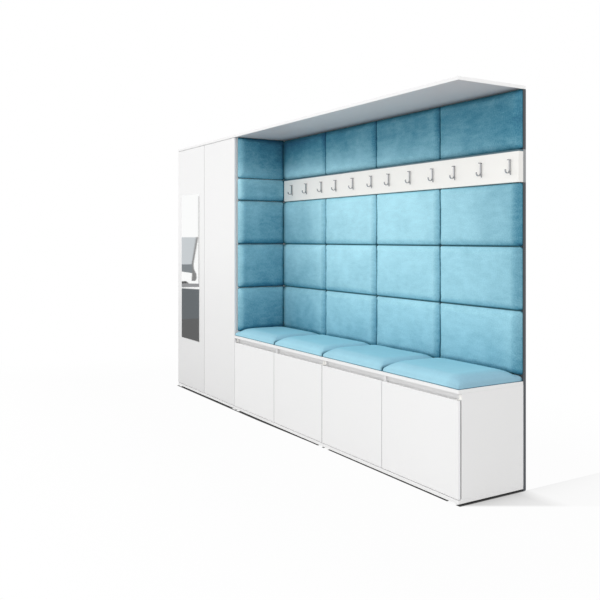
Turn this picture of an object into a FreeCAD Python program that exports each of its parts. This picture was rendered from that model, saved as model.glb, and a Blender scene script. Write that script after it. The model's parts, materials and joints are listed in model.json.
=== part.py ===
import FreeCAD, Part
import math
import os
from collections import namedtuple

# Hallway wardrobe: a two-door wardrobe beside a four-bay bench with a padded back wall, a canopy and
# a rail of coat hooks. Millimetres. X runs along the wall from the wardrobe to the bench's free end,
# Y from the door fronts to the wall, and Z is up. The pieces are laid out from the front left corner
# of the doors at the floor, and save() puts the origin under the middle of the whole set.

Vector = FreeCAD.Vector
Door = namedtuple("Door", "name left right top side tall")

# The set as a whole
HEIGHT = 2000.0
WARDROBE_WIDTH = 1080.0
BAY_WIDTH = 585.0
CABINETS = 2
BAYS_PER_CABINET = 2
BODY_DEPTH = 428.0
BENCH_HEIGHT = 540.0
FOOT_HEIGHT = 9.0

# Boards
BOARD = 18.0
WALL_BOARD = 18.0
THIN_BACK = 4.0
THIN_BACK_INSET = 4.0
EDGE_EASE = 1.0
SHELF_SETBACK = 8.0
WARDROBE_SHELVES = 4
HAT_SHELF_DROP = 300.0
BENCH_SHELF_HEIGHT = 235.0

# Doors and their pivots
DOOR = 18.0
DOOR_SIDE_GAP = 4.0
DOOR_END_GAP = 3.0
DOOR_BACK_GAP = 4.0
GRIP_SLOT = 32.0
GRIP_RAIL_HEIGHT = 60.0
GRIP_RAIL_SETBACK = 14.0
PIVOT_FROM_EDGE = 8.5
PIVOT_FROM_FACE = 5.5
PIN_RADIUS = 2.5
PIN_CLEARANCE = 0.08
PIN_IN_DOOR = 24.0
PIN_IN_BLOCK = 11.0
BLOCK_SIZE = 8.0
BLOCK_HEIGHT = 13.0
RUNNING_GAP = 0.3
BRACKET_WIDTH = 14.0
BRACKET_PLATE = 2.5
BRACKET_LEG = 22.0
BRACKET_FRONT = 1.5
MAGNET_WIDTH = 6.0
MAGNET_HEIGHT = 14.0
MAGNET_FROM_EDGE = 1.0
MAGNET_FROM_END = 60.0

# Push latches under the wardrobe's top
LATCH_WIDTH = 14.0
LATCH_HEIGHT = 14.0
LATCH_LENGTH = 60.0
LATCH_FROM_EDGE = 40.0
PLUNGER_RADIUS = 3.5
PLUNGER_LENGTH = 36.0
PLUNGER_CLEARANCE = 0.08
PLUNGER_TRAVEL = 3.0

# Mirror on the left door
MIRROR_WIDTH = 366.0
MIRROR_HEIGHT = 1185.0
MIRROR_BOTTOM = 420.0
MIRROR_GLASS = 4.0
MIRROR_EASE = 1.2

# Hanging rod
ROD_RADIUS = 12.5
ROD_WALL = 1.5
ROD_BELOW_SHELF = 50.0
SOCKET_RADIUS = 19.0
SOCKET_DEPTH = 12.0
SOCKET_FLOOR = 3.0
SOCKET_CLEARANCE = 0.1

# Feet and shelf supports
FOOT_SIZE = 44.0
FOOT_FROM_END = 48.0
FOOT_FROM_FRONT = 46.0
FOOT_FROM_BACK = 60.0
SUPPORT_SIZE = 10.0
SUPPORT_FROM_FRONT = 40.0
SUPPORT_FROM_BACK = 60.0

# Padded wall and hook rail
PAD_THICKNESS = 31.0
PAD_CROWN = 2.5
PAD_CROWN_INSET = 70.0
PAD_EDGE_ROUND = 13.0
PAD_ROLL_STEPS = 4
PAD_SEAM = 1.5
TOP_ROW_HEIGHT = 297.0
RAIL_HEIGHT = 163.0
LOWER_ROWS = 3
RAIL_THICKNESS = 33.0
RAIL_SEAM = 1.0

# Seat cushions
CUSHION_EDGE = 31.0
CUSHION_CROWN = 24.0
CUSHION_BELLY = 15.5
CUSHION_ROLL = 120.0
CUSHION_TOP_STEPS = 3
CUSHION_SEAM = 1.0
CUSHION_DRAW_IN = 3.0
CUSHION_TAPER = 2.0
CUSHION_FRONT_INSET = 2.0
CUSHION_PAD_GAP = 0.4

# Coat hooks, cut from bar
HOOK_GROUPS = 4
HOOKS_PER_GROUP = 3
HOOK_FIRST = 125.0
HOOK_SPACING = 200.0
HOOK_GROUP_PITCH = 577.0
HOOK_BOTTOM = 38.5
HOOK_WIDTH = 7.0
HOOK_BAR = 4.5
HOOK_STANDOFF = 4.5
HOOK_HEIGHT = 77.0
HOOK_BEND = 12.5
HOOK_BEND_LIFT = 6.5
HOOK_ARM_REACH = 21.0
HOOK_TIP_RISE = 1.5
HOOK_FOOT = 6.0

# Places that follow from the sizes
BENCH_LEFT = WARDROBE_WIDTH
CABINET_WIDTH = BAYS_PER_CABINET * BAY_WIDTH
LENGTH = WARDROBE_WIDTH + CABINETS * CABINET_WIDTH
TOTAL_DEPTH = BODY_DEPTH + WALL_BOARD
FLOOR_BOARD_TOP = FOOT_HEIGHT + BOARD
TOP_UNDERSIDE = HEIGHT - BOARD
SEAT_UNDERSIDE = BENCH_HEIGHT - BOARD
CARCASS_FRONT = DOOR + DOOR_BACK_GAP
DOOR_BOTTOM = FLOOR_BOARD_TOP + DOOR_END_GAP
WARDROBE_DOOR_TOP = TOP_UNDERSIDE - DOOR_END_GAP
BENCH_DOOR_TOP = SEAT_UNDERSIDE - GRIP_SLOT
WARDROBE_BACK = TOTAL_DEPTH - THIN_BACK_INSET - THIN_BACK
BENCH_BACK = BODY_DEPTH - THIN_BACK_INSET - THIN_BACK
WARDROBE_MIDDLE = WARDROBE_WIDTH / 2
PAD_FACE_X = BENCH_LEFT + PAD_THICKNESS
RAIL_TOP = TOP_UNDERSIDE - TOP_ROW_HEIGHT
RAIL_BOTTOM = RAIL_TOP - RAIL_HEIGHT
LOWEST_PAD = BENCH_HEIGHT + CUSHION_EDGE
LOWER_ROW_HEIGHT = (RAIL_BOTTOM - LOWEST_PAD) / LOWER_ROWS
RAIL_FACE_Y = BODY_DEPTH - RAIL_THICKNESS
HAT_SHELF_TOP = TOP_UNDERSIDE - HAT_SHELF_DROP
BORE_RADIUS = PIN_RADIUS + PIN_CLEARANCE
ORIGIN = Vector(LENGTH / 2, (TOTAL_DEPTH - MIRROR_GLASS) / 2, 0)

os.makedirs("parts", exist_ok=True)


def save(name, *solids):
    """Write one node: a single solid, or a group of separate ones, moved to the set's origin."""
    shape = solids[0].copy() if len(solids) == 1 else Part.makeCompound(list(solids))
    shape.translate(ORIGIN.negative())
    shape.exportStep("parts/" + name + ".step")


def board(x0, x1, y0, y1, z0, z1, ease=0.0):
    """A flat board between two corners, with its edges broken by ease where it has any."""
    solid = Part.makeBox(x1 - x0, y1 - y0, z1 - z0, Vector(x0, y0, z0))
    if ease > 0:
        solid = solid.makeChamfer(ease, solid.Edges)
    return solid


def disc(x, y, z0, z1, radius):
    """An upright cylinder between two heights."""
    return Part.makeCylinder(radius, z1 - z0, Vector(x, y, z0))


def bar_along_y(x, y0, y1, z, radius):
    """A cylinder that points from front to back."""
    return Part.makeCylinder(radius, y1 - y0, Vector(x, y0, z), Vector(0, 1, 0))


def bar_along_x(x0, x1, y, z, radius):
    """A cylinder that points along the wall."""
    return Part.makeCylinder(radius, x1 - x0, Vector(x0, y, z), Vector(1, 0, 0))


# Doors. Each has its left and right edge, its top, the side of its pivots, and whether it is tall.
def bay_left(bay):
    """The X of the left edge of a bench bay, counted from zero."""
    return BENCH_LEFT + bay * BAY_WIDTH


def door_plan():
    """The two tall doors of the wardrobe and one low door on each bench bay."""
    half = DOOR_SIDE_GAP / 2
    middle, right = WARDROBE_MIDDLE, WARDROBE_WIDTH
    plan = [
        Door("wardrobe_door_left", half, middle - half, WARDROBE_DOOR_TOP, "left", True),
        Door("wardrobe_door_right", middle + half, right - half, WARDROBE_DOOR_TOP, "right", True),
    ]
    for bay in range(CABINETS * BAYS_PER_CABINET):
        side = "left" if bay % 2 == 0 else "right"
        name = "bench_door_%d" % (bay + 1)
        plan.append(Door(name, bay_left(bay) + half, bay_left(bay + 1) - half, BENCH_DOOR_TOP, side, False))
    return plan


def pivot_x(door):
    """The X of a door's pivot axis."""
    return door.left + PIVOT_FROM_EDGE if door.side == "left" else door.right - PIVOT_FROM_EDGE


def free_edge_x(door, distance):
    """The X at a distance inside the edge that swings."""
    return door.right - distance if door.side == "left" else door.left + distance


def build_doors():
    """Door leaves with blind holes for their pins, and the pins that stand in them."""
    for door in door_plan():
        x = pivot_x(door)
        leaf = board(door.left, door.right, 0, DOOR, DOOR_BOTTOM, door.top, EDGE_EASE)
        low_hole = disc(x, PIVOT_FROM_FACE, DOOR_BOTTOM, DOOR_BOTTOM + PIN_IN_DOOR, PIN_RADIUS)
        high_hole = disc(x, PIVOT_FROM_FACE, door.top - PIN_IN_DOOR, door.top, PIN_RADIUS)
        save(door.name, leaf.cut(low_hole).cut(high_hole))

        pin_foot = FLOOR_BOARD_TOP - PIN_IN_BLOCK
        low_pin = disc(x, PIVOT_FROM_FACE, pin_foot, DOOR_BOTTOM + PIN_IN_DOOR, PIN_RADIUS)
        through_bracket = door.top + DOOR_END_GAP + BRACKET_PLATE + RUNNING_GAP
        pin_head = TOP_UNDERSIDE + PIN_IN_BLOCK if door.tall else through_bracket
        high_pin = disc(x, PIVOT_FROM_FACE, door.top - PIN_IN_DOOR, pin_head, PIN_RADIUS)
        save(door.name + "_pivot_pins", low_pin, high_pin)


def block_space(x, z0, z1):
    """The square space that a pivot block fills in the edge of a board."""
    half = BLOCK_SIZE / 2
    return board(x - half, x + half, PIVOT_FROM_FACE - half, PIVOT_FROM_FACE + half, z0, z1)


def bracket(door):
    """An angled steel bracket over a bench door, screwed to the upright board behind it."""
    half_gap = DOOR_SIDE_GAP / 2
    board_left = door.left - half_gap if door.side == "left" else door.right + half_gap - BOARD
    x0 = board_left + (BOARD - BRACKET_WIDTH) / 2
    x1 = x0 + BRACKET_WIDTH
    low = door.top + DOOR_END_GAP
    plate = board(x0, x1, BRACKET_FRONT, CARCASS_FRONT, low, low + BRACKET_PLATE)
    leg = board(x0, x1, CARCASS_FRONT - BRACKET_PLATE, CARCASS_FRONT, low, low + BRACKET_LEG)
    hole = disc(pivot_x(door), PIVOT_FROM_FACE, low, low + BRACKET_PLATE, BORE_RADIUS)
    return plate.fuse(leg).cut(hole).removeSplitter()


def build_pivot_seats():
    """Square plastic blocks let into the projecting boards, and brackets over the bench doors."""
    blocks = []
    brackets = []
    bore_depth = PIN_IN_BLOCK + RUNNING_GAP
    for door in door_plan():
        x = pivot_x(door)
        low_bore = disc(x, PIVOT_FROM_FACE, FLOOR_BOARD_TOP - bore_depth, FLOOR_BOARD_TOP, BORE_RADIUS)
        blocks.append(block_space(x, FLOOR_BOARD_TOP - BLOCK_HEIGHT, FLOOR_BOARD_TOP).cut(low_bore))
        if door.tall:
            high_bore = disc(x, PIVOT_FROM_FACE, TOP_UNDERSIDE, TOP_UNDERSIDE + bore_depth, BORE_RADIUS)
            blocks.append(block_space(x, TOP_UNDERSIDE, TOP_UNDERSIDE + BLOCK_HEIGHT).cut(high_bore))
        else:
            brackets.append(bracket(door))
    save("pivot_blocks", *blocks)
    save("bench_pivot_brackets", *brackets)


def projecting_board(x0, x1, y1, z0, z1, blocks_on_top):
    """A board that projects over or under the doors, with pockets for the pivot blocks on it."""
    solid = board(x0, x1, 0, y1, z0, z1, EDGE_EASE)
    pocket_low = z1 - BLOCK_HEIGHT if blocks_on_top else z0
    for door in door_plan():
        x = pivot_x(door)
        if x0 < x < x1:
            solid = solid.cut(block_space(x, pocket_low, pocket_low + BLOCK_HEIGHT))
    return solid


# Shelves stand on small angled supports that are plugged into the boards beside them.
def shelf_support(x, y, z, direction):
    """A support under a shelf: direction is +1 where the board is on its left, -1 on its right."""
    a = Vector(x, y - SUPPORT_SIZE / 2, z)
    b = Vector(x + direction * SUPPORT_SIZE, y - SUPPORT_SIZE / 2, z)
    c = Vector(x + direction * SUPPORT_SIZE, y - SUPPORT_SIZE / 2, z - SUPPORT_SIZE / 4)
    d = Vector(x, y - SUPPORT_SIZE / 2, z - SUPPORT_SIZE)
    face = Part.Face(Part.makePolygon([a, b, c, d, a]))
    return face.extrude(Vector(0, SUPPORT_SIZE, 0))


def shelf_with_supports(x0, x1, back, z_top):
    """A shelf between two upright boards, and its four supports."""
    front = CARCASS_FRONT + SHELF_SETBACK
    shelf = board(x0, x1, front, back, z_top - BOARD, z_top)
    supports = []
    for y in (front + SUPPORT_FROM_FRONT, back - SUPPORT_FROM_BACK):
        supports.append(shelf_support(x0, y, z_top - BOARD, 1))
        supports.append(shelf_support(x1, y, z_top - BOARD, -1))
    return shelf, supports


def shelf_tops():
    """Heights of the wardrobe's shelves, evenly shared over the right compartment."""
    inside = TOP_UNDERSIDE - FLOOR_BOARD_TOP
    space = (inside - WARDROBE_SHELVES * BOARD) / (WARDROBE_SHELVES + 1)
    return [FLOOR_BOARD_TOP + (k + 1) * (space + BOARD) for k in range(WARDROBE_SHELVES)]


def build_wardrobe():
    """Carcass boards of the wardrobe."""
    right = WARDROBE_WIDTH
    middle_left = WARDROBE_MIDDLE - BOARD / 2
    middle_right = WARDROBE_MIDDLE + BOARD / 2
    z0, z1 = FLOOR_BOARD_TOP, TOP_UNDERSIDE
    save("wardrobe_left_side", board(0, BOARD, CARCASS_FRONT, TOTAL_DEPTH, z0, z1))
    save("wardrobe_right_side", board(right - BOARD, right, CARCASS_FRONT, TOTAL_DEPTH, z0, z1))
    save("wardrobe_top", projecting_board(0, right, TOTAL_DEPTH, TOP_UNDERSIDE, HEIGHT, False))
    save("wardrobe_bottom", projecting_board(0, right, TOTAL_DEPTH, FOOT_HEIGHT, FLOOR_BOARD_TOP, True))
    save("wardrobe_back", board(BOARD, right - BOARD, WARDROBE_BACK, WARDROBE_BACK + THIN_BACK, z0, z1))
    save("wardrobe_divider", board(middle_left, middle_right, CARCASS_FRONT, WARDROBE_BACK, z0, z1))


def build_shelves():
    """The wardrobe's hat shelf and right-hand shelves, one shelf in each bench bay, and their supports."""
    middle_left = WARDROBE_MIDDLE - BOARD / 2
    middle_right = WARDROBE_MIDDLE + BOARD / 2
    hat_shelf, supports = shelf_with_supports(BOARD, middle_left, WARDROBE_BACK, HAT_SHELF_TOP)
    shelves = [hat_shelf]
    for z_top in shelf_tops():
        shelf, more = shelf_with_supports(middle_right, WARDROBE_WIDTH - BOARD, WARDROBE_BACK, z_top)
        shelves.append(shelf)
        supports += more
    bench_shelves = []
    for bay in range(CABINETS * BAYS_PER_CABINET):
        x0, x1 = bay_inside(bay)
        shelf, more = shelf_with_supports(x0, x1, BENCH_BACK, BENCH_SHELF_HEIGHT + BOARD)
        bench_shelves.append(shelf)
        supports += more
    save("wardrobe_shelves", *shelves)
    save("bench_shelves", *bench_shelves)
    save("shelf_supports", *supports)


def build_hanging_rod():
    """A tube across the left compartment, held in a cup at each end."""
    y = (CARCASS_FRONT + WARDROBE_BACK) / 2
    z = HAT_SHELF_TOP - BOARD - ROD_BELOW_SHELF
    wall_left, wall_right = BOARD, WARDROBE_MIDDLE - BOARD / 2
    x0, x1 = wall_left + SOCKET_FLOOR, wall_right - SOCKET_FLOOR
    rod = bar_along_x(x0, x1, y, z, ROD_RADIUS)
    seat = bar_along_x(x0, x1, y, z, ROD_RADIUS + SOCKET_CLEARANCE)
    left_socket = bar_along_x(wall_left, wall_left + SOCKET_DEPTH, y, z, SOCKET_RADIUS)
    right_socket = bar_along_x(wall_right - SOCKET_DEPTH, wall_right, y, z, SOCKET_RADIUS)
    save("hanging_rod", rod.cut(bar_along_x(x0, x1, y, z, ROD_RADIUS - ROD_WALL)))
    save("rod_sockets", left_socket.cut(seat), right_socket.cut(seat))


def build_latches():
    """Push latches: a housing under the wardrobe's top, and a plunger that a closed door rests near."""
    housings = []
    z = TOP_UNDERSIDE - LATCH_HEIGHT / 2
    for door in door_plan():
        if not door.tall:
            continue
        x = free_edge_x(door, LATCH_FROM_EDGE)
        half = LATCH_WIDTH / 2
        back = CARCASS_FRONT + LATCH_LENGTH
        body = board(x - half, x + half, CARCASS_FRONT, back, TOP_UNDERSIDE - LATCH_HEIGHT, TOP_UNDERSIDE)
        tip = DOOR + RUNNING_GAP
        bore_end = tip + PLUNGER_LENGTH + PLUNGER_TRAVEL + RUNNING_GAP
        bore = bar_along_y(x, CARCASS_FRONT, bore_end, z, PLUNGER_RADIUS + PLUNGER_CLEARANCE)
        housings.append(body.cut(bore))
        plunger = bar_along_y(x, tip, tip + PLUNGER_LENGTH, z, PLUNGER_RADIUS)
        save("push_latch_plunger_" + door.side, plunger)
    save("push_latch_housings", *housings)


def build_mirror():
    """A frameless mirror on the left door, centred across it."""
    door = door_plan()[0]
    x0 = (door.left + door.right - MIRROR_WIDTH) / 2
    top = MIRROR_BOTTOM + MIRROR_HEIGHT
    save("door_mirror", board(x0, x0 + MIRROR_WIDTH, -MIRROR_GLASS, 0, MIRROR_BOTTOM, top, MIRROR_EASE))


def build_magnets():
    """Small magnets on the bench's upright boards, near the ends of each door's swinging edge."""
    magnets = []
    for door in door_plan():
        if door.tall:
            continue
        x = free_edge_x(door, MAGNET_FROM_EDGE + MAGNET_WIDTH / 2) - MAGNET_WIDTH / 2
        for z in (DOOR_BOTTOM + MAGNET_FROM_END, door.top - MAGNET_FROM_END - MAGNET_HEIGHT):
            top = z + MAGNET_HEIGHT
            magnets.append(board(x, x + MAGNET_WIDTH, DOOR + RUNNING_GAP, CARCASS_FRONT, z, top))
    save("door_magnets", *magnets)


def build_feet():
    """Low square feet under the wardrobe and under each bench cabinet."""
    feet = []
    half = FOOT_SIZE / 2
    spans = [(0.0, WARDROBE_WIDTH, TOTAL_DEPTH)]
    for cabinet in range(CABINETS):
        left = BENCH_LEFT + cabinet * CABINET_WIDTH
        spans.append((left, left + CABINET_WIDTH, BODY_DEPTH))
    for left, right, depth in spans:
        for x in (left + FOOT_FROM_END, right - FOOT_FROM_END):
            for y in (FOOT_FROM_FRONT, depth - FOOT_FROM_BACK):
                feet.append(board(x - half, x + half, y - half, y + half, 0, FOOT_HEIGHT))
    save("feet", *feet)


def bay_inside(bay):
    """The X of the left and right inner faces of a bench bay."""
    first = bay % BAYS_PER_CABINET == 0
    last = bay % BAYS_PER_CABINET == BAYS_PER_CABINET - 1
    x0 = bay_left(bay) + (BOARD if first else BOARD / 2)
    x1 = bay_left(bay + 1) - (BOARD if last else BOARD / 2)
    return x0, x1


def build_bench():
    """Carcass boards of the two bench cabinets, their common top and the recessed grip rails."""
    sides, dividers, bottoms, backs, rails = [], [], [], [], []
    z0, z1 = FLOOR_BOARD_TOP, SEAT_UNDERSIDE
    for cabinet in range(CABINETS):
        left = BENCH_LEFT + cabinet * CABINET_WIDTH
        right = left + CABINET_WIDTH
        bottoms.append(projecting_board(left, right, BODY_DEPTH, FOOT_HEIGHT, FLOOR_BOARD_TOP, True))
        sides.append(board(left, left + BOARD, CARCASS_FRONT, BODY_DEPTH, z0, z1))
        sides.append(board(right - BOARD, right, CARCASS_FRONT, BODY_DEPTH, z0, z1))
        backs.append(board(left + BOARD, right - BOARD, BENCH_BACK, BENCH_BACK + THIN_BACK, z0, z1))
        for bay in range(1, BAYS_PER_CABINET):
            x = left + bay * BAY_WIDTH
            dividers.append(board(x - BOARD / 2, x + BOARD / 2, CARCASS_FRONT, BENCH_BACK, z0, z1))
    rail_front = CARCASS_FRONT + GRIP_RAIL_SETBACK
    for bay in range(CABINETS * BAYS_PER_CABINET):
        x0, x1 = bay_inside(bay)
        rails.append(board(x0, x1, rail_front, rail_front + BOARD, z1 - GRIP_RAIL_HEIGHT, z1))
    save("bench_bottoms", *bottoms)
    save("bench_side_panels", *sides)
    save("bench_backs", *backs)
    save("bench_dividers", *dividers)
    save("grip_rails", *rails)
    save("bench_top", board(BENCH_LEFT, LENGTH, 0, BODY_DEPTH, SEAT_UNDERSIDE, BENCH_HEIGHT, EDGE_EASE))


def build_wall():
    """The boards against the wall, the hook rail on them, and the canopy over them."""
    y0, y1 = BODY_DEPTH, TOTAL_DEPTH
    save("backboard_lower", board(BENCH_LEFT, LENGTH, y0, y1, 0, RAIL_BOTTOM))
    save("rail_carrier", board(BENCH_LEFT, LENGTH, y0, y1, RAIL_BOTTOM, RAIL_TOP))
    save("backboard_upper", board(BENCH_LEFT, LENGTH, y0, y1, RAIL_TOP, TOP_UNDERSIDE))
    rail_left = PAD_FACE_X + PAD_CROWN + RAIL_SEAM
    save("hook_rail", board(rail_left, LENGTH, RAIL_FACE_Y, BODY_DEPTH, RAIL_BOTTOM + RAIL_SEAM,
                            RAIL_TOP - RAIL_SEAM, EDGE_EASE))
    save("canopy", board(BENCH_LEFT, LENGTH, 0, TOTAL_DEPTH, TOP_UNDERSIDE, HEIGHT, EDGE_EASE))


# Soft pieces. An outline is four lines, or four shallow arcs where the sides are drawn in between the
# corners, and a ruled loft joins the outlines. Its flat strips are kept as plain flat faces.
def outline(point, u0, u1, v0, v1, depth, draw=0.0):
    """A closed outline at one depth: point() turns (u, v, depth) into a place in the set."""
    um, vm = (u0 + u1) / 2, (v0 + v1) / 2
    corners = [(u0, v0), (u1, v0), (u1, v1), (u0, v1)]
    middles = [(um, v0 + draw), (u1 - draw, vm), (um, v1 - draw), (u0 + draw, vm)]
    edges = []
    for k in range(4):
        start, end = point(*corners[k], depth), point(*corners[(k + 1) % 4], depth)
        if draw > 0:
            edges.append(Part.Arc(start, point(*middles[k], depth), end).toShape())
        else:
            edges.append(Part.makeLine(start, end))
    return Part.Wire(edges)


def is_straight(edge):
    """True where an edge is as long as the distance between its ends."""
    start, end = edge.Vertexes[0].Point, edge.Vertexes[-1].Point
    return abs(edge.Length - start.distanceToPoint(end)) < 1e-7


def upholstery(outlines):
    """A closed solid through the outlines, with the strips between straight edges made flat."""
    faces = []
    for face in Part.makeLoft(outlines, True, True).Faces:
        if all(is_straight(edge) for edge in face.Edges):
            corners = [vertex.Point for vertex in face.OuterWire.OrderedVertexes]
            face = Part.Face(Part.makePolygon(corners + corners[:1]))
        faces.append(face)
    shell = Part.Shell(faces)
    shell.sewShape()
    return Part.Solid(shell)


def pad(point, u0, u1, v0, v1):
    """A wall pad: sides that taper to its backing, a rolled edge and a slightly crowned face."""
    sections = [(0.0, PAD_SEAM)]
    for step in range(PAD_ROLL_STEPS + 1):
        turn = math.radians(90.0 * step / PAD_ROLL_STEPS)
        depth = PAD_THICKNESS - PAD_EDGE_ROUND * (1 - math.sin(turn))
        sections.append((depth, PAD_SEAM / 2 + PAD_EDGE_ROUND * (1 - math.cos(turn))))
    crown_inset = min(PAD_CROWN_INSET, (v1 - v0) / 3)
    sections.append((PAD_THICKNESS + PAD_CROWN, crown_inset))
    return upholstery([outline(point, u0 + s, u1 - s, v0 + s, v1 - s, depth) for depth, s in sections])


def build_pads():
    """Five pads on the wardrobe's side, and four rows of four on the back wall."""
    rows = [(RAIL_TOP, TOP_UNDERSIDE), (RAIL_BOTTOM, RAIL_TOP)]
    for k in range(LOWER_ROWS):
        top = RAIL_BOTTOM - k * LOWER_ROW_HEIGHT
        rows.append((top - LOWER_ROW_HEIGHT, top))

    def on_side(u, v, depth):
        return Vector(BENCH_LEFT + depth, u, v)

    def on_back(u, v, depth):
        return Vector(u, BODY_DEPTH - depth, v)

    first_left = PAD_FACE_X + PAD_CROWN
    for k, (z0, z1) in enumerate(rows):
        save("side_pad_%d" % (k + 1), pad(on_side, CARCASS_FRONT, BODY_DEPTH, z0, z1))
        if (z0, z1) == (RAIL_BOTTOM, RAIL_TOP):
            continue
        columns = []
        for bay in range(CABINETS * BAYS_PER_CABINET):
            u0 = first_left if bay == 0 else bay_left(bay)
            columns.append(pad(on_back, u0, bay_left(bay + 1), z0, z1))
        save("back_pads_row_%d" % (k + 1), *columns)


def cushion_sections():
    """Height, inset at a free edge, inset at an edge that lies under a wall pad, and draw of the sides.

    The top is a quarter of an ellipse from the widest height to the middle. Where it passes under the
    pads it stays flat until it is clear of them.
    """
    rise = CUSHION_EDGE + CUSHION_CROWN - CUSHION_BELLY
    under_pad = CUSHION_EDGE - CUSHION_PAD_GAP
    tuck = math.asin((under_pad - CUSHION_BELLY) / rise)
    top_turns = [tuck + (math.pi / 2 - tuck) * k / CUSHION_TOP_STEPS for k in range(CUSHION_TOP_STEPS + 1)]
    tuck_inset = CUSHION_ROLL * (1 - math.cos(tuck))
    past_pad = PAD_THICKNESS + PAD_CROWN - tuck_inset
    sections = [(0.0, CUSHION_TAPER, CUSHION_TAPER, CUSHION_DRAW_IN)]
    for turn in [0.0, tuck / 2] + top_turns:
        inset = CUSHION_ROLL * (1 - math.cos(turn))
        tucked = inset if turn < tuck else inset + past_pad
        draw = CUSHION_DRAW_IN if turn < tuck else 0.0
        sections.append((CUSHION_BELLY + rise * math.sin(turn), inset, tucked, draw))
    return sections


def build_cushions():
    """One seat cushion on each bay; the back edge and the first one's left edge lie under the pads."""

    def on_seat(u, v, depth):
        return Vector(u, v, BENCH_HEIGHT + depth)

    gap = CUSHION_SEAM / 2
    for bay in range(CABINETS * BAYS_PER_CABINET):
        outlines = []
        for depth, free, tucked, draw in cushion_sections():
            left = bay_left(bay) + gap + (tucked if bay == 0 else free)
            right = bay_left(bay + 1) - gap - free
            front = CUSHION_FRONT_INSET + free
            back = BODY_DEPTH - gap - tucked
            outlines.append(outline(on_seat, left, right, front, back, depth, draw))
        save("seat_cushion_%d" % (bay + 1), upholstery(outlines))


# Coat hooks. The profile is drawn with out measured from the rail towards the room and up from the
# lower foot, then given the bar's width.
def coat_hook(x):
    """A hook with a short arm on top, an upright stem, a round bend in front and a foot behind."""
    z0 = RAIL_BOTTOM + HOOK_BOTTOM

    def at(out, up):
        return Vector(x - HOOK_WIDTH / 2, RAIL_FACE_Y - out, z0 + up)

    def plate(points):
        return Part.Face(Part.makePolygon([at(*p) for p in points + points[:1]]))

    def dome(out0, up0, out1, up1, out, up):
        """A rounded end on the line between two places, through a third."""
        arc = Part.Arc(at(out0, up0), at(out, up), at(out1, up1)).toShape()
        return Part.Face(Part.Wire([arc, Part.makeLine(at(out1, up1), at(out0, up0))]))

    half = HOOK_BAR / 2
    stem_back = HOOK_STANDOFF
    stem_front = HOOK_STANDOFF + HOOK_BAR
    outer = HOOK_BEND + HOOK_BAR
    centre_out = stem_front + HOOK_BEND
    centre_up = HOOK_BEND_LIFT + outer
    arm_low = HOOK_HEIGHT - HOOK_BAR
    arm_end = HOOK_ARM_REACH - half
    tip_up = centre_up + HOOK_TIP_RISE
    tip_back = centre_out + HOOK_BEND
    tip_front = tip_back + HOOK_BAR

    bend = Part.Face(Part.Wire([
        Part.Arc(at(centre_out - outer, centre_up), at(centre_out, centre_up - outer),
                 at(tip_front, centre_up)).toShape(),
        Part.makeLine(at(tip_front, centre_up), at(tip_back, centre_up)),
        Part.Arc(at(tip_back, centre_up), at(centre_out, centre_up - HOOK_BEND),
                 at(centre_out - HOOK_BEND, centre_up)).toShape(),
        Part.makeLine(at(centre_out - HOOK_BEND, centre_up), at(centre_out - outer, centre_up)),
    ]))
    faces = [
        plate([(stem_back, centre_up), (stem_front, centre_up),
               (stem_front, arm_low), (stem_back, arm_low)]),
        plate([(0, arm_low), (arm_end, arm_low), (arm_end, HOOK_HEIGHT), (0, HOOK_HEIGHT)]),
        dome(arm_end, arm_low, arm_end, HOOK_HEIGHT, arm_end + half, arm_low + half),
        plate([(tip_back, centre_up), (tip_front, centre_up), (tip_front, tip_up), (tip_back, tip_up)]),
        dome(tip_back, tip_up, tip_front, tip_up, tip_back + half, tip_up + half),
        plate([(0, 0), (0, HOOK_FOOT), (stem_back, centre_up), (stem_front, centre_up),
               (stem_front, centre_up - HOOK_BAR)]),
        bend,
    ]
    slices = [face.extrude(Vector(HOOK_WIDTH, 0, 0)) for face in faces]
    return slices[0].multiFuse(slices[1:]).removeSplitter()


def hook_places():
    """The X of every hook, group by group."""
    places = []
    for group in range(HOOK_GROUPS):
        start = PAD_FACE_X + HOOK_FIRST + group * HOOK_GROUP_PITCH
        places.append([start + k * HOOK_SPACING for k in range(HOOKS_PER_GROUP)])
    return places


def build_hooks():
    """Four nodes of three hooks each."""
    for group, places in enumerate(hook_places()):
        save("coat_hooks_%d" % (group + 1), *[coat_hook(x) for x in places])


build_wardrobe()
build_shelves()
build_hanging_rod()
build_doors()
build_pivot_seats()
build_latches()
build_mirror()
build_magnets()
build_feet()
build_bench()
build_wall()
build_pads()
build_cushions()
build_hooks()
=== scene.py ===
# %% [markdown]
# A hallway set: a wardrobe, a bench with cushions, a padded wall with coat hooks and a canopy.
# The rigid pieces arrive as a fixed frame, in metres. This lesson gives them their finishes, and
# makes the upholstery, which is soft and has to be modelled rather than machined.

# %% Load the frame
import bpy
import json
import math
import random
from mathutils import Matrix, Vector, noise

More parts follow.
